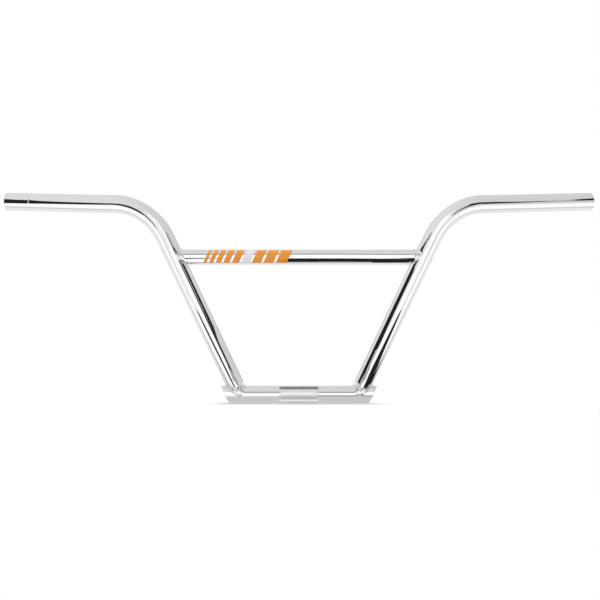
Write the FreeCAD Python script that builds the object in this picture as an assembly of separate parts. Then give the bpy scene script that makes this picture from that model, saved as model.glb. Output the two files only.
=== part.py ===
import FreeCAD, Part
import math
import os

# A chrome-plated BMX handlebar, welded from four steel tubes. All sizes are in millimetres and degrees.
# The origin is the middle of the clamp zone, on the base tube's axis. X runs along the base tube, Z is up
# in the plane of the base tube and the legs, and the grips sweep back towards +Y, where the rider sits.
# Left and right are as seen from the front, so left is -X.

# Tubes
main_od = 22.2
side_wall = 1.25
base_wall = 1.6
crossbar_od = 19.05
crossbar_wall = 0.9

# Layout of the tubes' axes: the rise is from the base tube's axis to the middle of a grip's end
overall_width = 743.0
rise = 241.3
leg_spacing = 147.0
leg_lean = 25.3
bend_radius = 73.0
upsweep = 2.0
backsweep = 11.0
crossbar_height = 170.0

# Base tube: how far its slanted ends stand outside the legs, and its knurled clamp zone
stub_margin = 5.0
knurl_length = 48.0
knurl_height = 0.2

# Rounding of the open tube ends
edge_break = 0.5

# Weld beads: the width of a bead's arched top where two walls run level, and half of that arc
bead_width = 4.5
bead_half_arc = 60.0

# Decal of thin film bars on the front of the crossbar's left half, narrow at the left and wider to the right
film = 0.12
decal_length = 110.0
decal_inner_end = 8.0
decal_above_axis = 8.6
decal_below_axis = 7.0
decal_slant = 25.0
decal_first_bar = 4.0
decal_gap = 3.0

DECAL_BARS = 9
WHITE_BAR = 5
BEAD_FACETS = 10
MOST_ROUNDING = 0.4
TOUCH = 0.01

ORIGIN = FreeCAD.Vector(0, 0, 0)
X = FreeCAD.Vector(1, 0, 0)
Y = FreeCAD.Vector(0, 1, 0)
Z = FreeCAD.Vector(0, 0, 1)

main_radius = main_od / 2
crossbar_radius = crossbar_od / 2
lean = math.radians(leg_lean)
up = math.radians(upsweep)
back = math.radians(backsweep)

# Right side tube's axis: up the leg from the base tube, round the bend and out along the grip
foot = X * (leg_spacing / 2)
leg_way = X * math.sin(lean) + Z * math.cos(lean)
leg_outward = X * math.cos(lean) - Z * math.sin(lean)
grip_way = (X * math.cos(back) + Y * math.sin(back)) * math.cos(up) + Z * math.sin(up)
grip_end_x = overall_width / 2 - main_radius * math.sqrt(1 - grip_way.x ** 2)
grip_slope = grip_way.z / grip_way.x
corner_height = (rise - grip_slope * (grip_end_x - foot.x)) / (1 - grip_slope * math.tan(lean))
corner = foot + leg_way * (corner_height / math.cos(lean))
bend_angle = leg_way.getAngle(grip_way)
bend_reach = bend_radius * math.tan(bend_angle / 2)
bend_start = corner - leg_way * bend_reach
bend_end = corner + grip_way * bend_reach
bend_axis = leg_way.cross(grip_way).normalize()
bend_centre = bend_start + bend_axis.cross(leg_way) * bend_radius
leg_length = (bend_start - foot).Length
grip_length = (grip_end_x - bend_end.x) / grip_way.x
grip_end = bend_end + grip_way * grip_length

# Where the crossbar's axis meets the right leg's axis, and where the base tube's end plane meets its axis
crossbar_meeting = foot + leg_way * (crossbar_height / math.cos(lean))
base_half = foot.x + (main_radius + stub_margin) / math.cos(lean)

# A bead is a round rope of metal, sunk into the joint until only the arc of its top stands out
bead_radius = bead_width / 2 / math.sin(math.radians(bead_half_arc))
bead_sink = bead_radius * math.cos(math.radians(bead_half_arc))


def mirrored(shape):
    """The same shape on the left side of the bar."""
    return shape.mirror(ORIGIN, X)


def rounded(tube, edges, wall):
    """The tube with the edges of its open ends rounded, as far as its wall allows."""
    return tube.makeFillet(min(edge_break, wall * MOST_ROUNDING), edges)


def base_rod(radius):
    """Straight rod on the base tube's axis, longer than the tube."""
    reach = base_half + main_od
    return Part.makeCylinder(radius, 2 * reach, X * -reach, X)


def leg_rod(radius):
    """Straight rod on the right leg's axis, from the base tube's axis to the bend."""
    return Part.makeCylinder(radius, leg_length, foot, leg_way)


def crossbar_rod(radius):
    """Straight rod on the crossbar's axis, from one leg's axis to the other's."""
    length = 2 * crossbar_meeting.x
    return Part.makeCylinder(radius, length, crossbar_meeting - X * length, X)


def side_rod(radius):
    """Bent rod along the whole right side tube: leg, bend and grip."""
    disc = Part.Face(Part.Wire(Part.makeCircle(radius, bend_start, leg_way)))
    bend = disc.revolve(bend_centre, bend_axis, math.degrees(bend_angle))
    grip = Part.makeCylinder(radius, grip_length, bend_end, grip_way)
    return leg_rod(radius).multiFuse([bend, grip]).removeSplitter()


def side_tube():
    """Right side tube: coped over the base tube at its foot, square and rounded at the grip's end."""
    tube = side_rod(main_radius).cut(side_rod(main_radius - side_wall))
    tube = tube.cut(base_rod(main_radius))
    at_end = [edge for edge in tube.Edges if edge.CenterOfMass.distanceToPoint(grip_end) < TOUCH]
    return rounded(tube, at_end, side_wall)


def base_tube():
    """Base tube: a raised band for the knurled clamp zone, and ends cut parallel to the legs."""
    knurl = Part.makeCylinder(main_radius + knurl_height, knurl_length, X * (-knurl_length / 2), X)
    tube = base_rod(main_radius).fuse(knurl).cut(base_rod(main_radius - base_wall))
    beyond = Part.makeCylinder(2 * main_od, 2 * main_od, X * base_half, leg_outward)
    tube = tube.cut(beyond).cut(mirrored(beyond))
    at_ends = [edge for edge in tube.Edges if abs(abs(edge.CenterOfMass.x) - base_half) < TOUCH]
    return rounded(tube, at_ends, base_wall)


def crossbar():
    """Crossbar: both ends coped to the legs."""
    tube = crossbar_rod(crossbar_radius).cut(crossbar_rod(crossbar_radius - crossbar_wall))
    side = side_rod(main_radius)
    return tube.cut(side).cut(mirrored(side))


def weld_bead(meeting, run_way, run_radius, branch_way, branch_radius, tubes):
    """Bead round the joint of a branch tube on a run tube, whose axes cross at the meeting point.

    The middle of the rope follows the line where the two tubes' outsides cross, drawn in towards the middle
    plane by the sink. At an angle round the branch, a point of it has a distance across the branch, a depth
    along Y and a height over the run's axis. The rope's half on the +Y side is swept in short straight runs,
    the first and last of them square to the middle plane, and then doubled.
    """
    cosine = run_way.dot(branch_way)
    sine = math.sqrt(1 - cosine ** 2)
    over = (branch_way - run_way * cosine).normalize()
    path = []
    for facet in range(BEAD_FACETS):
        angle = math.pi * (facet + 0.5) / BEAD_FACETS
        across = branch_radius * math.cos(angle)
        depth = (branch_radius - bead_sink) * math.sin(angle)
        height = math.sqrt(run_radius ** 2 - (branch_radius * math.sin(angle)) ** 2)
        along = (height * cosine - across) / sine
        path.append(meeting + run_way * along + over * height + Y * depth)
    start = path[0] - Y * path[0].y
    finish = path[-1] - Y * path[-1].y
    spine = Part.makePolygon([start] + path + [finish])
    section = Part.Wire(Part.makeCircle(bead_radius, start, Y))
    mitred_corners = 1
    rope = spine.makePipeShell([section], True, False, mitred_corners)
    half = rope.cut(tubes)
    return half.fuse(half.mirror(ORIGIN, Y)).removeSplitter()


def base_weld():
    """Bead between the right leg and the base tube."""
    tubes = [base_rod(main_radius), leg_rod(main_radius)]
    return weld_bead(foot, X, main_radius, leg_way, main_radius, tubes)


def crossbar_weld():
    """Bead between the crossbar and the right leg."""
    tubes = [side_rod(main_radius), crossbar_rod(crossbar_radius)]
    return weld_bead(crossbar_meeting, leg_way, main_radius, X * -1, crossbar_radius, tubes)


def decal():
    """Slanted bars of film, each as much wider than the last as fills the decal's length."""
    low = crossbar_height - decal_below_axis
    high = crossbar_height + decal_above_axis
    lead = (high - low) * math.tan(math.radians(decal_slant))
    widths_total = decal_length - lead - decal_gap * (DECAL_BARS - 1)
    growth = 2 * (widths_total / DECAL_BARS - decal_first_bar) / (DECAL_BARS - 1)
    sleeve = crossbar_rod(crossbar_radius + film).cut(crossbar_rod(crossbar_radius))
    bars = []
    left = -decal_inner_end - decal_length
    for number in range(DECAL_BARS):
        right = left + decal_first_bar + growth * number
        corners = [(left, low), (right, low), (right + lead, high), (left + lead, high), (left, low)]
        outline = Part.makePolygon([X * x + Z * z for x, z in corners])
        bars.append(sleeve.common(Part.Face(outline).extrude(Y * -crossbar_od)))
        left = right + decal_gap
    return bars


os.makedirs("parts", exist_ok=True)
right_side_tube = side_tube()
right_base_weld = base_weld()
right_crossbar_weld = crossbar_weld()
decal_bars = decal()
white_bar = decal_bars.pop(WHITE_BAR)
nodes = {
    "base_tube": base_tube(),
    "left_side_tube": mirrored(right_side_tube),
    "right_side_tube": right_side_tube,
    "crossbar": crossbar(),
    "left_base_weld": mirrored(right_base_weld),
    "right_base_weld": right_base_weld,
    "left_crossbar_weld": mirrored(right_crossbar_weld),
    "right_crossbar_weld": right_crossbar_weld,
    "decal_orange_bars": Part.makeCompound(decal_bars),
    "decal_white_bar": white_bar,
}
for name, shape in nodes.items():
    shape.exportStep("parts/" + name + ".step")
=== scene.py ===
"""A chrome-plated BMX handlebar, dressed on its CAD frame and set in a white studio.

Everything is in metres. X runs along the base tube, Z is up and the grips sweep back towards +Y. Left and
right are as seen from the front, so left is -X.
"""

import logging
import math
from dataclasses import dataclass
from enum import Enum
from functools import cached_property

import bpy
import numpy as np
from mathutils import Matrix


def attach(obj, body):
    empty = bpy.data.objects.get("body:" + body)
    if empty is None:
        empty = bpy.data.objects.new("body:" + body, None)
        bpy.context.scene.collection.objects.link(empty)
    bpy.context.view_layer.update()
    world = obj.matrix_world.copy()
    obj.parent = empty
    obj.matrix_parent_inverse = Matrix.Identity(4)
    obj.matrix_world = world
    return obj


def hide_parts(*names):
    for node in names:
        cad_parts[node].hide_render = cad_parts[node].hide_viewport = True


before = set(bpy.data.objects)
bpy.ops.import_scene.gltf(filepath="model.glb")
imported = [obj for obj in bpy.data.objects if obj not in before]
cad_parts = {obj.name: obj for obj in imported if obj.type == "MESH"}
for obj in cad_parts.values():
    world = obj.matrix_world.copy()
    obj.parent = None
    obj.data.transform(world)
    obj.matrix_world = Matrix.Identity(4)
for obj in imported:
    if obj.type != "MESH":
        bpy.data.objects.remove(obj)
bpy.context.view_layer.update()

Array = np.ndarray
Material = bpy.types.Material
Node = bpy.types.Node
Socket = bpy.types.NodeSocket
Colour = tuple[float, float, float]
Point = tuple[float, float, float]
Span = tuple[float, float]
Outline = tuple[Span, ...]

BODY = "root"
PURE_WHITE: Colour = (1.0, 1.0, 1.0)
X_WAY = np.array([1.0, 0.0, 0.0])
Y_WAY = np.array([0.0, 1.0, 0.0])
Z_WAY = np.array([0.0, 0.0, 1.0])

# How many roundings of an edge lie between it and the next row, on the outside and in the bore
OUTSIDE_CLEARANCE = 1.5
BORE_CLEARANCE = 2.0

log = logging.getLogger("handlebar")


class Side(Enum):
    """A side of the bar, by the sign of its X."""

    LEFT = -1.0
    RIGHT = 1.0

    @property
    def word(self) -> str:
        """The side's name as the CAD nodes write it."""
        return self.name.lower()


class Axis(Enum):
    """An axis of the frame, by its number."""

    X = 0
    Y = 1
    Z = 2


class Slot(Enum):
    """The record's material slots."""

    CHROME = "chrome"
    ORANGE_FILM = "orange_film"
    WHITE_FILM = "white_film"


class Value:
    """A number that varies over a surface: an output socket whose arithmetic adds Math nodes."""

    def __init__(self, graph: "Graph", socket: Socket) -> None:
        """Wraps a socket of a graph's node."""
        self.graph = graph
        self.socket = socket

    def _math(self, operation: str, first: object, second: object) -> "Value":
        """The result of one Math node on two numbers or values."""
        node = self.graph.add("ShaderNodeMath", {"operation": operation}, {0: first, 1: second})
        return Value(self.graph, node.outputs[0])

    def __add__(self, other: object) -> "Value":
        """self + other."""
        return self._math("ADD", self, other)

    def __radd__(self, other: object) -> "Value":
        """other + self."""
        return self._math("ADD", other, self)

    def __sub__(self, other: object) -> "Value":
        """self - other."""
        return self._math("SUBTRACT", self, other)

    def __rsub__(self, other: object) -> "Value":
        """other - self."""
        return self._math("SUBTRACT", other, self)

    def __mul__(self, other: object) -> "Value":
        """self * other."""
        return self._math("MULTIPLY", self, other)

    def __rmul__(self, other: object) -> "Value":
        """other * self."""
        return self._math("MULTIPLY", other, self)


class Graph:
    """The nodes of one material or of the world."""

    def __init__(self, tree: bpy.types.NodeTree) -> None:
        """Empties the tree and keeps it."""
        self.tree = tree
        tree.nodes.clear()

    def add(self, kind: str, settings: dict | None = None, sockets: dict | None = None) -> Node:
        """Adds one node.

        Args:
            kind: the node's type.
            settings: its own properties, set first.
            sockets: numbers, colours, values or sockets for its inputs, by name or number.

        Returns:
            The new node.
        """
        node = self.tree.nodes.new(kind)
        for name, setting in (settings or {}).items():
            setattr(node, name, setting)
        for name, given in (sockets or {}).items():
            self._feed(node.inputs[name], given)
        return node

    def _feed(self, socket: Socket, given: object) -> None:
        """Links a value or socket to an input, or sets a plain number or colour on it.

        Args:
            socket: the input.
            given: what it gets.
        """
        if isinstance(given, Value):
            self.tree.links.new(given.socket, socket)
        elif isinstance(given, Socket):
            self.tree.links.new(given, socket)
        else:
            socket.default_value = given

    def value(self, node: Node, output: str) -> Value:
        """One output of a node, as a value."""
        return Value(self, node.outputs[output])

    def coordinates(self, kind: str) -> Socket:
        """Coordinates of one kind, such as the object's own."""
        return self.add("ShaderNodeTexCoord").outputs[kind]

    def coordinate(self, kind: str, axis: str) -> Value:
        """One axis of the coordinates of one kind."""
        return self.value(self.add("ShaderNodeSeparateXYZ", {}, {0: self.coordinates(kind)}), axis)

    def noise(self, where: Socket, scale: float, detail: float) -> Value:
        """Smooth noise between 0 and 1, from its waves to a metre and its octaves of detail."""
        node = self.add("ShaderNodeTexNoise", {}, {"Vector": where, "Scale": scale, "Detail": detail})
        return self.value(node, "Fac")

    def share(self, value: Value, start: float, end: float) -> Value:
        """How far a value has gone from a start to an end, from 0 to 1."""
        node = self.add("ShaderNodeMapRange", {}, {"Value": value, "From Min": start, "From Max": end})
        return self.value(node, "Result")

    def blend(self, share: Value, low: object, high: object) -> Socket:
        """A colour between two, with a share of 0 for the low one and 1 for the high one."""
        node = self.add("ShaderNodeMix", {"data_type": "RGBA"}, {"Factor": share, 6: low, 7: high})
        return node.outputs[2]

    def either(self, share: object, first: Node, second: Node) -> Node:
        """The node of a shader between two, with a share of 0 for the first and 1 for the second."""
        return self.add("ShaderNodeMixShader", {}, {0: share, 1: first.outputs[0], 2: second.outputs[0]})

    def surface(self, shader: Node, output: str = "ShaderNodeOutputMaterial") -> None:
        """Makes a node's shader what the material shows, or the world with a world's output."""
        self.add(output, {}, {"Surface": shader.outputs[0]})


def opaque(colour: Colour) -> tuple[float, float, float, float]:
    """The colour with full opacity, as a colour socket takes it."""
    return (*colour, 1.0)


def new_material(name: str) -> tuple[Material, Graph]:
    """Makes a material without nodes.

    Args:
        name: its name.

    Returns:
        The material and its graph.
    """
    material = bpy.data.materials.new(name)
    material.use_nodes = True
    return material, Graph(material.node_tree)


def new_object(name: str, data: bpy.types.ID) -> bpy.types.Object:
    """Makes an object at the origin and links it to the scene.

    Args:
        name: its name.
        data: its mesh, lamp or lens.

    Returns:
        The object.
    """
    made = bpy.data.objects.new(name, data)
    bpy.context.scene.collection.objects.link(made)
    return made


@dataclass(frozen=True)
class Plating:
    """Chrome plate over steel, bright outside and bare in the bores.

    The mirror is a little hazy in soft clouds, and a faint waviness of the polished steel shows in its
    reflections. A mesh attribute tells where the plating has not reached.
    """

    name: str
    colour: Colour = (0.93, 0.93, 0.935)
    steel: Colour = (0.20, 0.19, 0.18)
    haze: float = 0.035
    haze_spread: float = 0.03
    cloud_scale: float = 60.0
    cloud_detail: float = 3.0
    steel_roughness: float = 0.5
    wave_scale: float = 40.0
    wave_detail: float = 2.0
    wave_height: float = 0.000004

    def material(self) -> Material:
        """Makes the finish.

        Returns:
            The Blender material.
        """
        material, graph = new_material(self.name)
        place = graph.coordinates("Object")
        bare = graph.value(graph.add("ShaderNodeAttribute", {"attribute_name": "bare"}), "Fac")
        cloud = graph.noise(place, self.cloud_scale, self.cloud_detail)
        hazy = cloud * self.haze_spread + (self.haze - self.haze_spread / 2)
        roughness = hazy * (1 - bare) + bare * self.steel_roughness
        colour = graph.blend(bare, opaque(self.colour), opaque(self.steel))
        wave = graph.noise(place, self.wave_scale, self.wave_detail)
        bump = graph.add("ShaderNodeBump", {}, {
            "Strength": 1.0, "Distance": self.wave_height, "Height": wave})
        shader = graph.add("ShaderNodeBsdfPrincipled", {}, {
            "Base Color": colour, "Metallic": 1.0, "Roughness": roughness, "Normal": bump.outputs["Normal"]})
        graph.surface(shader)
        return material


@dataclass(frozen=True)
class PrintedFilm:
    """Printed vinyl film: a solid ink with slight mottling, under a clear gloss with hazier scuffs."""

    name: str
    ink: Colour
    mottled_ink: Colour
    mottle_scale: float = 900.0
    mottle_detail: float = 2.0
    scuff_scale: float = 220.0
    scuff_detail: float = 4.0
    roughness: float = 0.08
    scuff_roughness: float = 0.2
    gloss: float = 0.35
    gloss_roughness: float = 0.08

    def material(self) -> Material:
        """Makes the finish.

        Returns:
            The Blender material.
        """
        material, graph = new_material(self.name)
        place = graph.coordinates("Object")
        mottle = graph.noise(place, self.mottle_scale, self.mottle_detail)
        colour = graph.blend(mottle, opaque(self.ink), opaque(self.mottled_ink))
        scuffs = graph.noise(place, self.scuff_scale, self.scuff_detail)
        roughness = scuffs * scuffs * self.scuff_roughness + self.roughness
        shader = graph.add("ShaderNodeBsdfPrincipled", {}, {
            "Base Color": colour, "Roughness": roughness, "Coat Weight": self.gloss,
            "Coat Roughness": self.gloss_roughness})
        graph.surface(shader)
        return material


POLISHED = Plating("polished_chrome")
KNURLED = Plating("knurled_chrome", colour=(0.90, 0.90, 0.905), haze=0.14, haze_spread=0.05, wave_height=0.0)
WELDED = Plating("welded_chrome", colour=(0.90, 0.90, 0.905), haze=0.09, haze_spread=0.05)
ORANGE = PrintedFilm("orange_film", ink=(0.86, 0.300, 0.012), mottled_ink=(0.83, 0.280, 0.010))
WHITE = PrintedFilm("white_film", ink=(0.84, 0.82, 0.86), mottled_ink=(0.80, 0.78, 0.83))


@dataclass
class Skin:
    """Closed surfaces on grids of points.

    Attributes:
        name: the piece's name.
        points: sheets x rows x columns x 3. The columns go round, so the last joins the first.
        rows_meet: whether the last row joins the first too. If not, each end row is closed by one face.
        bare: share of bare steel at each point, if any point has some.
    """

    name: str
    points: Array
    rows_meet: bool = True
    bare: Array | None = None

    def faces(self) -> list[list[int]]:
        """Corner numbers of the faces, turned so that they point outwards.

        Each face joins a point to the next column, the next row and the point across. The sum over the faces
        of the triple product of their corners, which is six times the volume, tells which way they point.

        Returns:
            The faces, as lists of point numbers.
        """
        number = np.arange(self.points[..., 0].size).reshape(self.points.shape[:3])
        after = np.roll(number, -1, axis=2)
        corners = np.stack([number, after, np.roll(after, -1, axis=1), np.roll(number, -1, axis=1)], axis=-1)
        kept = corners if self.rows_meet else corners[:, :-1]
        quads = kept.reshape(-1, 4)
        place = self.points.reshape(-1, 3) - self.points.reshape(-1, 3).mean(axis=0)
        a, b, c, d = (place[quads[:, corner]] for corner in range(4))
        volume = np.sum(a * np.cross(b, c)) + np.sum(a * np.cross(c, d))
        faces = quads.tolist()
        if not self.rows_meet:
            faces += number[:, 0, ::-1].tolist() + number[:, -1].tolist()
        return faces if volume > 0 else [face[::-1] for face in faces]

    def piece(self, material: Material, node: str, slot: Slot) -> None:
        """Makes the mesh object, smooth and in place, and hands it to the frame.

        Args:
            material: its finish.
            node: the CAD node it stands for.
            slot: the record's slot of its finish; not used.
        """
        mesh = bpy.data.meshes.new(self.name)
        mesh.from_pydata(self.points.reshape(-1, 3).tolist(), [], self.faces())
        mesh.shade_smooth()
        if self.bare is not None:
            layer = mesh.attributes.new("bare", "FLOAT", "POINT")
            layer.data.foreach_set("value", self.bare.astype(np.float32).ravel())
        mesh.materials.append(material)
        piece = new_object(self.name, mesh)
        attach(piece, BODY)
        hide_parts(node)
        log.info("%s: %d faces, in place of %s", self.name, len(mesh.polygons), node)


def unit(vectors: Array) -> Array:
    """The vectors, each divided by its length."""
    return vectors / np.linalg.norm(vectors, axis=-1, keepdims=True)


def full_turn(columns: int) -> Array:
    """Even angles once round, without the last, which is the first again."""
    return np.linspace(0.0, 2 * math.pi, columns, endpoint=False)


def turned(vectors: Array, axis: Array, angles: Array) -> Array:
    """Vectors turned about an axis through the origin.

    The part along the axis stays. The rest becomes its cosine along itself plus its sine along the axis's
    cross product with it.

    Args:
        vectors: columns x 3.
        axis: a unit vector.
        angles: one angle for each row of the result.

    Returns:
        rows x columns x 3.
    """
    along = (vectors @ axis)[:, None] * axis
    flat = vectors - along
    cosine = np.cos(angles)[:, None, None]
    sine = np.sin(angles)[:, None, None]
    return along + cosine * flat + sine * np.cross(axis, flat)


def around_axis(points: Array, start: Array, way: Array) -> Array:
    """What leads from an axis, straight out, to each point."""
    offset = points - start
    return offset - (offset @ way)[..., None] * way


def lip(outer: float, inner: float, rounding: float, steps: int) -> tuple[Array, Array]:
    """Profile of a tube's open end, from its outside over the rim to its bore.

    Two quarter circles: the distance behind the rim falls from the rounding to nothing and grows again,
    while the radius goes from the outer one to the inner one.

    Args:
        outer: outer radius.
        inner: inner radius.
        rounding: radius of both edges.
        steps: points on each edge.

    Returns:
        Distances behind the rim, and radii.
    """
    quarter = np.linspace(0.0, math.pi / 2, steps)
    closing = rounding * (1 - np.sin(quarter))
    opening = rounding * (1 - np.cos(quarter))
    return np.concatenate([closing, opening]), np.concatenate([outer - opening, inner + closing])


@dataclass(frozen=True)
class BarLayout:
    """Axes of the four tubes. Derived points and directions are those of the right side."""

    main_radius: float = 0.0111
    crossbar_radius: float = 0.009525
    overall_width: float = 0.743
    rise: float = 0.2413
    leg_spacing: float = 0.147
    lean: float = math.radians(25.3)
    bend_radius: float = 0.073
    upsweep: float = math.radians(2.0)
    backsweep: float = math.radians(11.0)
    crossbar_height: float = 0.170
    stub_margin: float = 0.005
    edge_break: float = 0.0005

    @cached_property
    def foot(self) -> Array:
        """Where the leg's axis meets the base tube's."""
        return X_WAY * self.leg_spacing / 2

    @cached_property
    def leg_way(self) -> Array:
        """Direction up the leg."""
        return X_WAY * math.sin(self.lean) + Z_WAY * math.cos(self.lean)

    @cached_property
    def leg_outward(self) -> Array:
        """Direction out of the bar, square to the leg."""
        return X_WAY * math.cos(self.lean) - Z_WAY * math.sin(self.lean)

    @cached_property
    def grip_way(self) -> Array:
        """Direction out along the grip."""
        level = X_WAY * math.cos(self.backsweep) + Y_WAY * math.sin(self.backsweep)
        return level * math.cos(self.upsweep) + Z_WAY * math.sin(self.upsweep)

    @cached_property
    def grip_end_x(self) -> float:
        """X of the middle of the grip's end, whose rim reaches half the overall width."""
        return self.overall_width / 2 - self.main_radius * math.sqrt(1 - self.grip_way[0] ** 2)

    @cached_property
    def corner(self) -> Array:
        """Where the leg's axis, run on, would reach the height of the grip's, run back.

        Returns:
            The point.
        """
        slope = self.grip_way[2] / self.grip_way[0]
        height = self.rise - slope * (self.grip_end_x - self.foot[0])
        height /= 1 - slope * math.tan(self.lean)
        return self.foot + self.leg_way * height / math.cos(self.lean)

    @cached_property
    def bend_angle(self) -> float:
        """Angle of the bend."""
        return math.acos(float(self.leg_way @ self.grip_way))

    @cached_property
    def bend_axis(self) -> Array:
        """Axis that the bend turns about."""
        return unit(np.cross(self.leg_way, self.grip_way))

    @cached_property
    def bend_start(self) -> Array:
        """Where the leg ends and the bend begins."""
        return self.corner - self.leg_way * self.bend_radius * math.tan(self.bend_angle / 2)

    @cached_property
    def bend_end(self) -> Array:
        """Where the bend ends and the grip begins."""
        return self.corner + self.grip_way * self.bend_radius * math.tan(self.bend_angle / 2)

    @cached_property
    def bend_centre(self) -> Array:
        """Middle of the bend's arc."""
        return self.bend_start + np.cross(self.bend_axis, self.leg_way) * self.bend_radius

    @cached_property
    def leg_length(self) -> float:
        """Length of the leg's axis."""
        return float(np.linalg.norm(self.bend_start - self.foot))

    @cached_property
    def grip_length(self) -> float:
        """Length of the grip's axis."""
        return float((self.grip_end_x - self.bend_end[0]) / self.grip_way[0])

    @cached_property
    def crossbar_meeting(self) -> Array:
        """Where the crossbar's axis meets the leg's."""
        return self.foot + self.leg_way * self.crossbar_height / math.cos(self.lean)

    @cached_property
    def base_half(self) -> float:
        """Half the length of the base tube's axis."""
        return float(self.foot[0] + (self.main_radius + self.stub_margin) / math.cos(self.lean))


@dataclass
class SideTube:
    """One side of the bar: leg, bend and grip in one tube, coped at its foot and open at the grip's end."""

    bar: BarLayout
    side: Side
    mark_from_end: float
    wall: float = 0.00125
    mark_width: float = 0.0010
    mark_depth: float = 0.00008
    columns: int = 128
    leg_rows: int = 24
    bend_rows: int = 72
    grip_rows: int = 28
    mark_rows: int = 11
    end_rows: int = 6
    lip_rows: int = 7

    @cached_property
    def angles(self) -> Array:
        """Angles round the tube, from the outward side of the leg towards +Y."""
        return full_turn(self.columns)

    @cached_property
    def spokes(self) -> Array:
        """Unit vectors out of the leg's axis, one to a column."""
        return np.cos(self.angles)[:, None] * self.bar.leg_outward + np.sin(self.angles)[:, None] * Y_WAY

    def leg(self, radius: float) -> Array:
        """Rows up the leg.

        The foot is coped: at each angle the leg starts where its height is that of the base tube's round
        back at the same depth.

        Args:
            radius: the tube's outer or inner radius.

        Returns:
            rows x columns x 3.
        """
        back = np.sqrt(np.maximum(self.bar.main_radius ** 2 - (radius * np.sin(self.angles)) ** 2, 0.0))
        start = (back + radius * np.cos(self.angles) * math.sin(self.bar.lean)) / math.cos(self.bar.lean)
        share = np.linspace(0.0, 1.0, self.leg_rows)[:, None]
        reach = start * (1 - share) + self.bar.leg_length * share
        return self.bar.foot + reach[..., None] * self.bar.leg_way + radius * self.spokes

    def bend(self, radius: float) -> Array:
        """Rows round the bend: the leg's last ring, turned about the bend's axis.

        Args:
            radius: the tube's outer or inner radius.

        Returns:
            rows x columns x 3.
        """
        ring = self.bar.bend_start - self.bar.bend_centre + radius * self.spokes
        angles = np.linspace(0.0, self.bar.bend_angle, self.bend_rows)
        return self.bar.bend_centre + turned(ring, self.bar.bend_axis, angles)

    def grip(self, reach: Array, radius: Array) -> Array:
        """Rows along the grip, rows x columns x 3: a ring of its own radius at each reach from the bend."""
        spokes = turned(self.spokes, self.bar.bend_axis, np.array([self.bar.bend_angle]))
        return self.bar.bend_end + reach[:, None, None] * self.bar.grip_way + radius[:, None, None] * spokes

    def marked_profile(self) -> tuple[Array, Array]:
        """Distances and radii of the grip's outside, with a shallow round groove as the cutting mark.

        Returns:
            Distances from the bend, and radii.
        """
        middle = self.bar.grip_length - self.mark_from_end
        half = self.mark_width / 2
        clear = OUTSIDE_CLEARANCE * half
        last = self.bar.grip_length - OUTSIDE_CLEARANCE * self.bar.edge_break
        across = np.linspace(-1.0, 1.0, self.mark_rows)
        groove = self.mark_depth * np.cos(across * math.pi / 2)
        plain = np.linspace(0.0, middle - clear, self.grip_rows)[1:]
        rest = np.linspace(middle + clear, last, self.end_rows)
        reach = np.concatenate([plain, middle + half * across, rest])
        radius = np.full_like(reach, self.bar.main_radius)
        radius[len(plain):len(plain) + len(across)] -= groove
        return reach, radius

    def build(self, material: Material) -> None:
        """Joins the outside, the rim and the bore into one closed skin.

        Args:
            material: the tube's finish.
        """
        outer = self.bar.main_radius
        inner = outer - self.wall
        behind, rim = lip(outer, inner, self.bar.edge_break, self.lip_rows)
        deep = self.bar.grip_length - BORE_CLEARANCE * self.bar.edge_break
        bore = np.linspace(deep, 0.0, self.grip_rows)
        outside = [self.leg(outer), self.bend(outer)[1:], self.grip(*self.marked_profile()),
                   self.grip(self.bar.grip_length - behind, rim)]
        inside = [self.grip(bore, np.full_like(bore, inner)), self.bend(inner)[-2::-1],
                  self.leg(inner)[-2::-1]]
        points = np.concatenate(outside + inside)
        points[..., 0] *= self.side.value
        bare = np.zeros(points.shape[:2])
        bare[sum(len(rows) for rows in outside):] = 1.0
        name = self.side.word + "_side_tube"
        Skin(name + "_plated", points[None], bare=bare).piece(material, name, Slot.CHROME)


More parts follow.
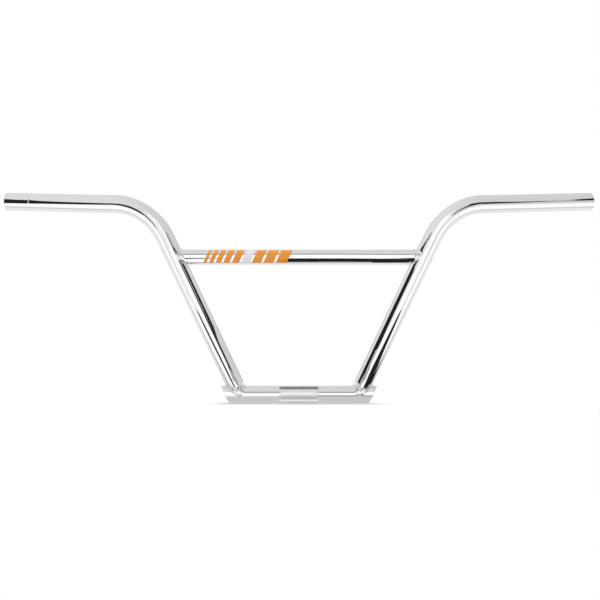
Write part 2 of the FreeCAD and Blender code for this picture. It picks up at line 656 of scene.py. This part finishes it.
@dataclass
class BaseTube:
    """Straight tube at the bottom, with ends cut parallel to the legs and a knurled band for the clamp."""

    bar: BarLayout
    wall: float = 0.0016
    knurl_half: float = 0.024
    knurl_rise: float = 0.0002
    knurl_depth: float = 0.00014
    knurl_seat: float = 0.00045
    knurl_under: float = 0.00036
    knurl_sink: float = 0.00005
    knurl_fade: float = 0.0009
    seat_step: float = 0.0001
    teeth_round: int = 54
    tooth_length: float = 0.00125
    tooth_flat: float = 0.82
    grid_per_tooth: int = 6
    columns: int = 128
    rows: int = 40
    lip_rows: int = 7

    def rings(self, along: Array, radius: Array) -> Array:
        """Rows along the tube, level near the middle and leaning more and more towards each slanted end.

        A ring's X is its place along the axis plus its height times the tangent of the lean, by the share
        that grows from nothing at half way to all of it at the end.

        Args:
            along: places on the axis.
            radius: a radius for each of them.

        Returns:
            rows x columns x 3.
        """
        angles = full_turn(self.columns)
        height = radius[:, None] * np.cos(angles)
        depth = radius[:, None] * np.sin(angles)
        share = np.clip(np.abs(along) / self.bar.base_half * 2 - 1, 0.0, 1.0) * np.sign(along)
        place = along[:, None] + share[:, None] * height * math.tan(self.bar.lean)
        return np.stack([place, depth, height], axis=-1)

    def build(self, material: Material) -> None:
        """Outside from left to right with a seat for the knurl, right rim, bore and left rim.

        Args:
            material: the tube's finish.
        """
        outer = self.bar.main_radius
        inner = outer - self.wall
        half = self.bar.base_half
        behind, rim = lip(outer, inner, self.bar.edge_break, self.lip_rows)
        seat = self.knurl_half - self.knurl_fade / 2
        run = np.linspace(self.knurl_half, half - OUTSIDE_CLEARANCE * self.bar.edge_break, self.rows)
        side = np.concatenate([[seat - self.seat_step, seat], run])
        along = np.concatenate([-side[::-1], side])
        radius = np.where(np.abs(along) < seat, outer - self.knurl_seat, outer)
        deep = half - BORE_CLEARANCE * self.bar.edge_break
        bore = np.linspace(deep, -deep, self.rows)
        rows = [self.rings(along, radius), self.rings(half - behind, rim),
                self.rings(bore, np.full_like(bore, inner)), self.rings(behind - half, rim)[::-1]]
        points = np.concatenate(rows)
        bare = np.zeros(points.shape[:2])
        start = len(along) + len(behind)
        bare[start:start + len(bore)] = 1.0
        Skin("base_tube_plated", points[None], bare=bare).piece(material, "base_tube", Slot.CHROME)

    def build_knurl(self, material: Material) -> None:
        """Band of small pyramids, pressed by two crossing sets of slanted grooves.

        Along each set runs a triangle wave of the turn round the tube plus or minus the place along it. The
        lower of the two waves, cut off at the flat tops, gives the height. The band sinks into the tube at
        its ends.

        Args:
            material: the band's finish.
        """
        columns = self.teeth_round * self.grid_per_tooth
        rows = round(2 * self.knurl_half / self.tooth_length * self.grid_per_tooth) + 1
        angles = full_turn(columns)
        along = np.linspace(-self.knurl_half, self.knurl_half, rows)[:, None]
        turn = self.teeth_round * angles / (2 * math.pi)
        step = along / self.tooth_length
        rising = np.abs((turn + step) % 1 * 2 - 1)
        falling = np.abs((turn - step) % 1 * 2 - 1)
        tooth = np.minimum(np.minimum(rising, falling) / self.tooth_flat, 1.0)
        fade = np.clip((self.knurl_half - np.abs(along)) / self.knurl_fade, 0.0, 1.0)
        rise = (self.knurl_rise - self.knurl_depth * (1 - tooth)) * fade - self.knurl_sink * (1 - fade)
        under = np.full((1, columns), -self.knurl_under)
        radius = self.bar.main_radius + np.concatenate([rise, under, under])
        places = np.concatenate([along, along[-1:], along[:1]])
        band = [np.broadcast_to(places, radius.shape), radius * np.sin(angles), radius * np.cos(angles)]
        points = np.stack(band, axis=-1)
        Skin("clamp_knurl", points[None]).piece(material, "base_tube", Slot.CHROME)


@dataclass
class Crossbar:
    """Straight tube between the legs, coped at both ends."""

    bar: BarLayout
    wall: float = 0.0009
    columns: int = 128
    rows: int = 48

    def rings(self, radius: float) -> Array:
        """Rows from the left leg to the right one.

        At each angle the tube ends where its height and depth meet the leg's round inner side: the leg's
        axis at that height, less the width of the leg at that depth.

        Args:
            radius: the tube's outer or inner radius.

        Returns:
            rows x columns x 3.
        """
        angles = full_turn(self.columns)
        height = self.bar.crossbar_height + radius * np.cos(angles)
        depth = radius * np.sin(angles)
        axis = self.bar.foot[0] + height * math.tan(self.bar.lean)
        end = axis - np.sqrt(self.bar.main_radius ** 2 - depth ** 2) / math.cos(self.bar.lean)
        place = np.linspace(-1.0, 1.0, self.rows)[:, None] * end
        return np.stack(np.broadcast_arrays(place, depth, height), axis=-1)

    def build(self, material: Material) -> None:
        """Outside from left to right and inside back again.

        Args:
            material: the tube's finish.
        """
        outer = self.bar.crossbar_radius
        points = np.concatenate([self.rings(outer), self.rings(outer - self.wall)[::-1]])
        Skin("crossbar_plated", points[None]).piece(material, "crossbar", Slot.CHROME)


@dataclass
class WeldBead:
    """Bead of filler metal round a joint, laid drop by drop and smoothed by the plating.

    Attributes:
        bar: the layout.
        side: the side of the bar.
        joint: the joint's name.
        meeting: where the axes of the run and the branch cross, on the right side.
        run_way: direction of the tube that runs on.
        branch_way: direction of the tube that ends on it.
        branch_radius: that tube's radius.
    """

    bar: BarLayout
    side: Side
    joint: str
    meeting: Array
    run_way: Array
    branch_way: Array
    branch_radius: float
    bridge: float = 0.0024
    branch_end: float = 0.004
    root: float = 0.005
    toe: float = 0.0046
    toe_sink: float = 0.00005
    under: float = 0.0003
    drop_length: float = 0.0019
    drop_height: float = 0.00010
    drop_bow: float = 0.5
    drop_skew: float = 0.6
    grid_per_drop: int = 8
    columns: int = 28
    line_steps: int = 720
    halvings: int = 24

    def joint_line(self) -> Array:
        """Line where the two tubes' outsides cross, in even steps that hold a whole number of drops.

        At an angle round the branch, a point of it has a distance across the branch, a depth along Y and a
        height over the run's axis.

        Returns:
            rows x 3.
        """
        angles = np.linspace(0.0, 2 * math.pi, self.line_steps + 1)
        cosine = float(self.run_way @ self.branch_way)
        sine = math.sqrt(1 - cosine ** 2)
        over = unit(self.branch_way - self.run_way * cosine)
        across = self.branch_radius * np.cos(angles)
        depth = self.branch_radius * np.sin(angles)
        height = np.sqrt(np.maximum(self.bar.main_radius ** 2 - depth ** 2, 0.0))
        along = (height * cosine - across) / sine
        line = self.meeting + along[:, None] * self.run_way + height[:, None] * over + depth[:, None] * Y_WAY
        length = np.concatenate([[0.0], np.cumsum(np.linalg.norm(np.diff(line, axis=0), axis=1))])
        drops = round(length[-1] / self.drop_length)
        even = np.linspace(0.0, length[-1], drops * self.grid_per_drop, endpoint=False)
        return np.stack([np.interp(even, length, line[:, axis]) for axis in range(3)], axis=-1)

    def outside(self, points: Array, bridge: float) -> Array:
        """How far points lie outside the two walls and the filler between them.

        It is the lower of the distances outside the run and outside the branch, which ends in a round cap
        within the run. Where the two differ by less than the bridge, a quarter of the square of what is left
        of the bridge, divided by the bridge, comes off.

        Args:
            points: any number of points.
            bridge: how much filler there is.

        Returns:
            The distances, below 0 inside.
        """
        run = np.linalg.norm(around_axis(points, self.meeting, self.run_way), axis=-1) - self.bar.main_radius
        arm = np.linalg.norm(around_axis(points, self.meeting, self.branch_way), axis=-1)
        short = np.minimum((points - self.meeting) @ self.branch_way - self.branch_end, 0.0)
        branch = np.hypot(arm, short) - self.branch_radius
        left = np.maximum(bridge - np.abs(run - branch), 0.0)
        return np.minimum(run, branch) - left ** 2 / (4 * bridge)

    def reach(self, start: Array, way: Array, bridge: float) -> Array:
        """How far from the start each ray leaves the metal, found by halving.

        Args:
            start: points inside.
            way: unit vectors.
            bridge: how much filler there is.

        Returns:
            The distances.
        """
        low = np.zeros(way.shape[:-1])
        high = np.full(way.shape[:-1], 2 * self.bar.main_radius)
        for _ in range(self.halvings):
            middle = (low + high) / 2
            inside = self.outside(start + middle[..., None] * way, bridge) < 0
            low = np.where(inside, middle, low)
            high = np.where(inside, high, middle)
        return (low + high) / 2

    def build(self, material: Material) -> None:
        """A fan of rays in each plane through the branch's axis, from the run's wall round to the branch's.

        The rays start under the joint line. They end on the filler, raised and lowered by the drops, and on
        the way back a little below the bare walls. A drop's edge bows at the sides of the bead.

        Args:
            material: the bead's finish.
        """
        line = self.joint_line()
        spoke = unit(around_axis(line, self.meeting, self.branch_way))
        normal = unit(around_axis(line, self.meeting, self.run_way))
        level_part = np.sum(normal * spoke, axis=1, keepdims=True)
        along_part = (normal @ self.branch_way)[:, None]
        wall = unit(spoke * along_part - self.branch_way * level_part)
        start = line - self.root * unit(spoke * (1 + level_part) + self.branch_way * along_part)
        toes = [line + self.toe * wall - start, line + self.toe * self.branch_way - start]
        angles = [np.arctan2(toe @ self.branch_way, np.sum(toe * spoke, axis=1))[:, None] for toe in toes]
        share = np.linspace(0.0, 1.0, self.columns)
        fan = angles[0] + (angles[1] - angles[0]) * share
        way = np.cos(fan)[..., None] * spoke[:, None] + np.sin(fan)[..., None] * self.branch_way
        begin = start[:, None]
        crown = np.sin(math.pi * share) ** 2
        drop = np.arange(len(line))[:, None] / self.grid_per_drop + self.drop_bow * (2 * share - 1) ** 2
        phase = 2 * math.pi * drop
        ripple = np.cos(phase + self.drop_skew * np.sin(phase)) * self.drop_height / 2
        top = self.reach(begin, way, self.bridge) + ripple * crown - self.toe_sink * (1 - crown)
        bottom = self.reach(begin, way, self.toe_sink) - self.under
        reach = np.concatenate([top, bottom[:, ::-1]], axis=1)
        points = begin + reach[..., None] * np.concatenate([way, way[:, ::-1]], axis=1)
        points[..., 0] *= self.side.value
        name = f"{self.side.word}_{self.joint}_weld"
        Skin(name + "_bead", points[None]).piece(material, name, Slot.CHROME)


@dataclass
class Decal:
    """Slanted bars of film on the front of the crossbar's left half, each wider than the last."""

    bar: BarLayout
    film: float = 0.00012
    length: float = 0.110
    inner_end: float = 0.008
    above_axis: float = 0.0086
    below_axis: float = 0.0070
    slant: float = math.radians(25.0)
    first_bar: float = 0.004
    gap: float = 0.003
    bars: int = 9
    white_bar: int = 5
    rows: int = 36
    columns: int = 10

    def edges(self) -> tuple[Array, Array, float]:
        """Where the bars' lower corners lie along the crossbar.

        The widths grow by even steps that fill the length left by the gaps and the slant.

        Returns:
            Left edges, right edges, and how far the slant carries a bar's top.
        """
        lead = (self.above_axis + self.below_axis) * math.tan(self.slant)
        total = self.length - lead - self.gap * (self.bars - 1)
        growth = 2 * (total / self.bars - self.first_bar) / (self.bars - 1)
        width = self.first_bar + growth * np.arange(self.bars)
        left = -self.inner_end - self.length + np.cumsum(width + self.gap) - width - self.gap
        return left, left + width, lead

    def sheets(self) -> Array:
        """All the bars: each a closed strip whose loop goes across the film and back under it.

        The loop's place across the bar shifts with height by the slant. Its radius is the crossbar's plus
        the film on top, and a little less than the crossbar's below, so that no light shows under the film.

        Returns:
            bars x rows x columns x 3.
        """
        left, right, lead = self.edges()
        share = np.linspace(0.0, 1.0, self.columns)
        loop = np.concatenate([share, share[::-1]])
        lift = np.concatenate([np.full(self.columns, self.film), np.full(self.columns, -self.film / 2)])
        lowest = math.asin(-self.below_axis / self.bar.crossbar_radius)
        highest = math.asin(self.above_axis / self.bar.crossbar_radius)
        rise = np.linspace(lowest, highest, self.rows)[None, :, None]
        radius = self.bar.crossbar_radius + lift[None, None, :]
        height = self.bar.crossbar_radius * np.sin(rise)
        shift = lead * (height + self.below_axis) / (self.above_axis + self.below_axis)
        place = left[:, None, None] + (right - left)[:, None, None] * loop + shift
        around = [place, -radius * np.cos(rise), self.bar.crossbar_height + radius * np.sin(rise)]
        return np.stack(np.broadcast_arrays(*around), axis=-1)

    def build(self, orange: Material, white: Material) -> None:
        """Makes the orange bars one piece and the white bar another.

        Args:
            orange: finish of most bars.
            white: finish of the white bar.
        """
        sheets = self.sheets()
        is_white = np.arange(self.bars) == self.white_bar
        most = Skin("orange_bars", sheets[~is_white], rows_meet=False)
        most.piece(orange, "decal_orange_bars", Slot.ORANGE_FILM)
        single = Skin("white_bar", sheets[is_white], rows_meet=False)
        single.piece(white, "decal_white_bar", Slot.WHITE_FILM)


def spans(first: Span, second: Span) -> Outline:
    """Outline of a rectangle, from its spans."""
    (left, right), (low, high) = first, second
    return ((left, low), (right, low), (right, high), (left, high))


def on_plane(axis: Axis, plane: float, outline: Outline) -> list[Point]:
    """Corners of an outline on a plane square to an axis."""
    return [(*place[:axis.value], plane, *place[axis.value:]) for place in outline]


@dataclass(frozen=True)
class Card:
    """A flat card that only the plating's reflections see.

    Attributes:
        name: which card it is.
        axis: the axis that it stands square to.
        plane: its place on that axis.
        outline: its corners in order, along the other two axes.
        glow: its brightness, where 0 is black and 1 is white.
        two_sided: whether its back shows too, and not only the side that its corners run anticlockwise on.
    """

    name: str
    axis: Axis
    plane: float
    outline: Outline
    glow: float
    two_sided: bool = True

    def build(self) -> None:
        """Makes one face within the outline, hidden from the camera and from the light."""
        name = self.name + "_card"
        mesh = bpy.data.meshes.new(name)
        mesh.from_pydata(on_plane(self.axis, self.plane, self.outline), [], [range(len(self.outline))])
        material, graph = new_material(name)
        shader = graph.add("ShaderNodeEmission", {}, {"Color": opaque((self.glow,) * 3), "Strength": 1.0})
        if not self.two_sided:
            back = graph.add("ShaderNodeNewGeometry").outputs["Backfacing"]
            shader = graph.either(back, shader, graph.add("ShaderNodeBsdfTransparent"))
        graph.surface(shader)
        mesh.materials.append(material)
        card = new_object(name, mesh)
        card.visible_camera = False
        card.visible_diffuse = False
        card.visible_shadow = False
        card.visible_transmission = False


def mirrored(outline: Outline) -> Outline:
    """The outline on the other side of the bar."""
    return tuple((-x, other) for x, other in outline)


# Planes of the cards
SIDE_PLANE = 1.5
FRONT_PLANE = -2.1
DARK_FRONT_PLANE = -2.05
BACK_PLANE = 2.1
LOW_PLANE = -0.50
GROUND_PLANE = -0.08
LEFT_BEND_PLANE = -0.6
LEFT_INNER_PLANE = -0.21
BASE_PLANE = -0.05
CROSSBAR_PLANE = -0.02
STUB_PLANE = -0.0105
OVER_KNURL_PLANE = 0.016
UNDER_KNURL_PLANE = -0.01125

# Brightness of the cards
BLACK = 0.015
DARK = 0.03
DIM = 0.10
DARK_GREY = 0.15
GREY = 0.40
OFF_WHITE = 0.98
CLEAN_WHITE = 1.0
BRIGHT_WHITE = 1.05
BRIGHTEST = 1.1

# White cards
WHITE_FRONT = spans((-0.40, 0.40), (-0.52, 1.60))
WHITE_LEFT = ((-1.18, -0.52), (-0.40, -0.52), (-0.40, 0.95), (-0.80, 0.60), (-1.18, 0.35))
WHITE_GROUND = spans((-2.5, 2.5), (-2.1, -0.05))

# Dark cards beside the bar, in Y and Z
LEFT_WALL = (
    (0.0, 0.62), (-1.40, 0.62), (-1.36, -0.48), (-1.46, -0.46), (-1.62, -0.42), (-1.84, -0.40),
    (-1.98, -0.32), (-2.15, -0.20), (-2.15, 0.44), (-1.94, 0.56), (-1.82, 0.64), (-1.72, 0.78),
    (-1.66, 0.88), (-1.62, 1.04), (-1.50, 1.08), (-1.46, 1.18), (-0.95, 1.165), (-0.40, 1.12), (0.0, 1.105))
RIGHT_WALL = ((-0.30, 0.84), (-1.55, 0.78), (-1.55, 1.10), (-1.00, 1.12), (-0.30, 1.06))
RIGHT_STAND = (
    (-1.28, 0.90), (-1.50, 0.66), (-1.72, 0.65), (-1.81, 0.60), (-1.92, 0.40), (-2.05, 0.30),
    (-2.17, 0.16), (-2.17, 1.14), (-2.00, 1.18), (-1.90, 0.90), (-1.79, 0.92), (-1.68, 0.82),
    (-1.59, 0.90), (-1.50, 1.32), (-1.40, 1.42), (-1.28, 1.56))
LEFT_INNER = (
    (-0.335, 0.187), (-0.550, 0.191), (-0.525, 0.232), (-0.486, 0.272), (-0.484, 0.314), (-0.510, 0.335),
    (-0.476, 0.354), (-0.335, 0.354))

# Dark cards in front of the bar and behind it, in X and Z
LEFT_FRONT = (
    (-1.50, -0.22), (-1.32, -0.10), (-1.15, 0.02), (-1.00, 0.18), (-0.98, 0.34), (-1.02, 0.56),
    (-1.10, 0.62), (-1.30, 0.58), (-1.50, 0.48))
RIGHT_FRONT = (
    (1.50, 0.28), (1.33, 0.36), (1.20, 0.36), (1.10, 0.26), (0.84, 0.47), (0.90, 0.66), (1.00, 0.92),
    (1.02, 1.42), (1.20, 1.28), (1.50, 1.16))
BACK_BAND = spans((-1.1, 1.1), (-0.02, 0.48))
BACK_LEFT = spans((-0.60, -0.35), (0.48, 1.10))

# Dark cards on the ground, in X and Y
RIGHT_GROUND = (
    (-0.03, -0.055), (0.30, -0.055), (0.36, -0.20), (0.46, -0.40), (0.53, -0.60), (0.56, -0.80),
    (0.55, -1.40), (0.20, -1.40), (0.20, -0.66), (0.15, -0.66), (0.08, -0.85), (-0.03, -0.85))
LEFT_GROUND = (
    (-0.20, -0.42), (-0.46, -0.52), (-0.56, -0.70), (-0.55, -1.30), (-0.15, -1.40), (-0.15, -0.80))

# Cards for one stretch of the bar each: sheets close to the bar where nothing stands. They put single dark,
# grey or pale streaks into the plating as painted reflections, such as the darker line along the knurl's top
STUB_SIDE = ((0.100, -0.002), (0.240, -0.002), (0.200, -0.022), (0.160, -0.050), (0.100, -0.050))
LEFT_BEND = (
    (-0.45, -0.06), (-0.60, -0.06), (-0.635, 0.055), (-0.675, 0.085), (-0.73, 0.125), (-0.70, 0.118),
    (-0.62, 0.074), (-0.55, 0.062), (-0.45, 0.055))
RIGHT_BEND = ((0.1427, 0.1990), (0.1499, 0.1957), (0.1543, 0.2032), (0.1545, 0.2085), (0.1477, 0.2063))
OVER_CROSSBAR = (
    (-0.147, 0.1826), (0.0, 0.1847), (0.039, 0.1854), (0.128, 0.1810), (0.143, 0.1803),
    (0.143, 0.1834), (0.128, 0.1842), (0.039, 0.1901), (0.0, 0.1894), (-0.147, 0.1875))
OVER_BASE_LEFT = spans((-0.075, -0.0245), (0.020, 0.042))
OVER_KNURL = spans((0.0245, -0.0245), (-0.0102, -0.0021))
UNDER_KNURL_PALE = spans((-0.0245, 0.0245), (-0.0129, -0.0093))
UNDER_KNURL_GREY = spans((-0.0245, 0.0245), (-0.022, -0.0156))


@dataclass
class Studio:
    """White room with a pale table, soft light, cards for the plating to mirror, and the camera."""

    floor_colour: Colour = (0.78, 0.78, 0.78)
    # The table as the plating sees it: its own grey with painted shade in front of the bar, fading over a
    # span of Y to a lighter unshaded grey behind it
    mirrored_floor_grey_and_shade: Colour = (0.61, 0.61, 0.615)
    mirrored_floor_unshaded_back: Colour = (0.86, 0.86, 0.86)
    painted_shade_fade: Span = (-0.01, 0.06)
    floor_lift: float = 0.28
    floor_level: float = -0.0113
    floor_front: float = -0.05
    floor_back: float = 2.0
    floor_half_width: float = 2.0
    sky_light: float = 0.85
    room_left: Colour = (0.775, 0.775, 0.78)
    room_right: Colour = (0.665, 0.665, 0.67)
    room_turn: float = 0.5
    softbox_size: float = 2.0
    softbox_height: float = 2.2
    softbox_watts: float = 14.0
    image_width: float = 600.0
    focal_pixels: float = 1212.0
    sensor: float = 36.0
    target: Point = (0.00119, 0.0, 0.1172)
    distance: float = 1.5
    elevation: float = math.radians(0.76)
    cards: tuple[Card, ...] = (
        Card("white_front", Axis.Y, FRONT_PLANE, WHITE_FRONT, BRIGHTEST),
        Card("white_left", Axis.Y, FRONT_PLANE, WHITE_LEFT, OFF_WHITE),
        Card("white_right", Axis.Y, FRONT_PLANE, mirrored(WHITE_LEFT), OFF_WHITE),
        Card("white_ground", Axis.Z, LOW_PLANE, WHITE_GROUND, BRIGHT_WHITE),
        Card("left_wall", Axis.X, -SIDE_PLANE, LEFT_WALL, BLACK),
        Card("right_wall", Axis.X, SIDE_PLANE, RIGHT_WALL, BLACK),
        Card("right_stand", Axis.X, SIDE_PLANE, RIGHT_STAND, BLACK),
        Card("left_front", Axis.Y, DARK_FRONT_PLANE, LEFT_FRONT, BLACK),
        Card("right_front", Axis.Y, DARK_FRONT_PLANE, RIGHT_FRONT, BLACK),
        Card("right_ground", Axis.Z, GROUND_PLANE, RIGHT_GROUND, BLACK),
        Card("left_ground", Axis.Z, GROUND_PLANE, LEFT_GROUND, DARK),
        Card("stub_side", Axis.Z, STUB_PLANE, STUB_SIDE, BLACK),
        Card("left_inner", Axis.X, LEFT_INNER_PLANE, LEFT_INNER, BLACK),
        Card("left_bend", Axis.X, LEFT_BEND_PLANE, LEFT_BEND, CLEAN_WHITE),
        Card("right_bend", Axis.Y, CROSSBAR_PLANE, RIGHT_BEND, DARK),
        Card("over_crossbar", Axis.Y, CROSSBAR_PLANE, OVER_CROSSBAR, DARK),
        Card("over_base_left", Axis.Y, BASE_PLANE, OVER_BASE_LEFT, GREY),
        Card("over_base_right", Axis.Y, BASE_PLANE, mirrored(OVER_BASE_LEFT), GREY),
        Card("over_knurl", Axis.Z, OVER_KNURL_PLANE, OVER_KNURL, DARK_GREY, two_sided=False),
        Card("under_knurl_pale", Axis.Z, UNDER_KNURL_PLANE, UNDER_KNURL_PALE, CLEAN_WHITE),
        Card("under_knurl_grey", Axis.Z, UNDER_KNURL_PLANE, UNDER_KNURL_GREY, GREY),
        Card("back_band", Axis.Y, BACK_PLANE, BACK_BAND, DIM),
        Card("back_left", Axis.Y, BACK_PLANE, BACK_LEFT, DIM),
        Card("back_right", Axis.Y, BACK_PLANE, mirrored(BACK_LEFT), DIM),
    )

    def build_world(self) -> None:
        """Even light, white to the camera and pale grey to the plating."""
        world = bpy.data.worlds.new("studio")
        world.use_nodes = True
        graph = Graph(world.node_tree)
        path = graph.add("ShaderNodeLightPath")
        seen = graph.add("ShaderNodeBackground", {}, {"Color": opaque(PURE_WHITE), "Strength": 1.0})
        share = graph.share(graph.coordinate("Generated", "X"), -self.room_turn, self.room_turn)
        room = graph.blend(share, opaque(self.room_left), opaque(self.room_right))
        reflected = graph.add("ShaderNodeBackground", {}, {"Color": room, "Strength": 1.0})
        lit = graph.add("ShaderNodeBackground", {}, {
            "Color": opaque(PURE_WHITE), "Strength": self.sky_light})
        unseen = graph.either(path.outputs["Is Glossy Ray"], lit, reflected)
        both = graph.either(path.outputs["Is Camera Ray"], unseen, seen)
        graph.surface(both, "ShaderNodeOutputWorld")
        bpy.context.scene.world = world

    def build_floor(self) -> None:
        """Table under the bar, white to the camera, with the bar's soft shadow. To the plating it is a flat
        grey glow with painted shade: darker in front of the bar, where its shadow falls, and lighter behind
        it.
        """
        width = (-self.floor_half_width, self.floor_half_width)
        corners = on_plane(Axis.Z, self.floor_level, spans(width, (self.floor_front, self.floor_back)))
        mesh = bpy.data.meshes.new("pale_table")
        mesh.from_pydata(corners, [], [[0, 1, 2, 3]])
        material, graph = new_material("pale_table")
        path = graph.add("ShaderNodeLightPath")
        # Painted shade: to the plating the table glows a flat grey, darker in front of the bar where its
        # shadow falls and lighter behind it
        share = graph.share(graph.coordinate("Object", "Y"), *self.painted_shade_fade)
        grey = graph.blend(share, opaque(self.mirrored_floor_grey_and_shade), opaque(self.mirrored_floor_unshaded_back))
        paint = graph.add("ShaderNodeBsdfDiffuse", {}, {"Color": opaque(self.floor_colour)})
        lift = graph.add("ShaderNodeEmission", {}, {
            "Strength": graph.value(path, "Is Camera Ray") * self.floor_lift})
        seen = graph.add("ShaderNodeAddShader", {}, {0: paint.outputs[0], 1: lift.outputs[0]})
        reflected = graph.add("ShaderNodeEmission", {}, {"Color": grey, "Strength": 1.0})
        graph.surface(graph.either(path.outputs["Is Glossy Ray"], seen, reflected))
        mesh.materials.append(material)
        new_object("pale_table", mesh)

    def build_light(self) -> None:
        """One wide soft box overhead."""
        light = bpy.data.lights.new("softbox", "AREA")
        light.size = self.softbox_size
        light.energy = self.softbox_watts
        lamp = new_object("softbox", light)
        lamp.location = (0.0, 0.0, self.softbox_height)
        lamp.visible_glossy = False

    def build_camera(self) -> None:
        """A long lens in front of the bar, a little above its middle."""
        data = bpy.data.cameras.new("camera")
        data.sensor_width = self.sensor
        data.lens = self.focal_pixels / self.image_width * self.sensor
        camera = new_object("camera", data)
        back = np.array([0.0, -math.cos(self.elevation), math.sin(self.elevation)])
        camera.location = np.array(self.target) + back * self.distance
        camera.rotation_euler = (math.pi / 2 - self.elevation, 0.0, 0.0)
        bpy.context.scene.camera = camera

    def build(self) -> None:
        """Sets up the room, its light and the camera."""
        bpy.context.scene.view_settings.view_transform = "Standard"
        self.build_world()
        self.build_floor()
        self.build_light()
        self.build_camera()
        for card in self.cards:
            card.build()
        log.info("studio with %d cards", len(self.cards))


# How far each grip's ring mark lies from the grip's end
MARKS_FROM_ENDS = {Side.LEFT: 0.0330, Side.RIGHT: 0.0303}


def build_bar(bar: BarLayout) -> None:
    """Builds the tubes, the welds and the decal.

    Args:
        bar: the layout.
    """
    polished = POLISHED.material()
    welded = WELDED.material()
    base = BaseTube(bar)
    base.build(polished)
    base.build_knurl(KNURLED.material())
    Crossbar(bar).build(polished)
    for side in Side:
        SideTube(bar, side, MARKS_FROM_ENDS[side]).build(polished)
        WeldBead(bar, side, "base", bar.foot, X_WAY, bar.leg_way, bar.main_radius).build(welded)
        meeting = bar.crossbar_meeting
        WeldBead(bar, side, "crossbar", meeting, bar.leg_way, -X_WAY, bar.crossbar_radius).build(welded)
    Decal(bar).build(ORANGE.material(), WHITE.material())


def main() -> None:
    """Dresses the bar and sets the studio."""
    logging.basicConfig(level=logging.INFO, format="%(name)s: %(message)s")
    build_bar(BarLayout())
    Studio().build()


if __name__ == "__main__":
    main()
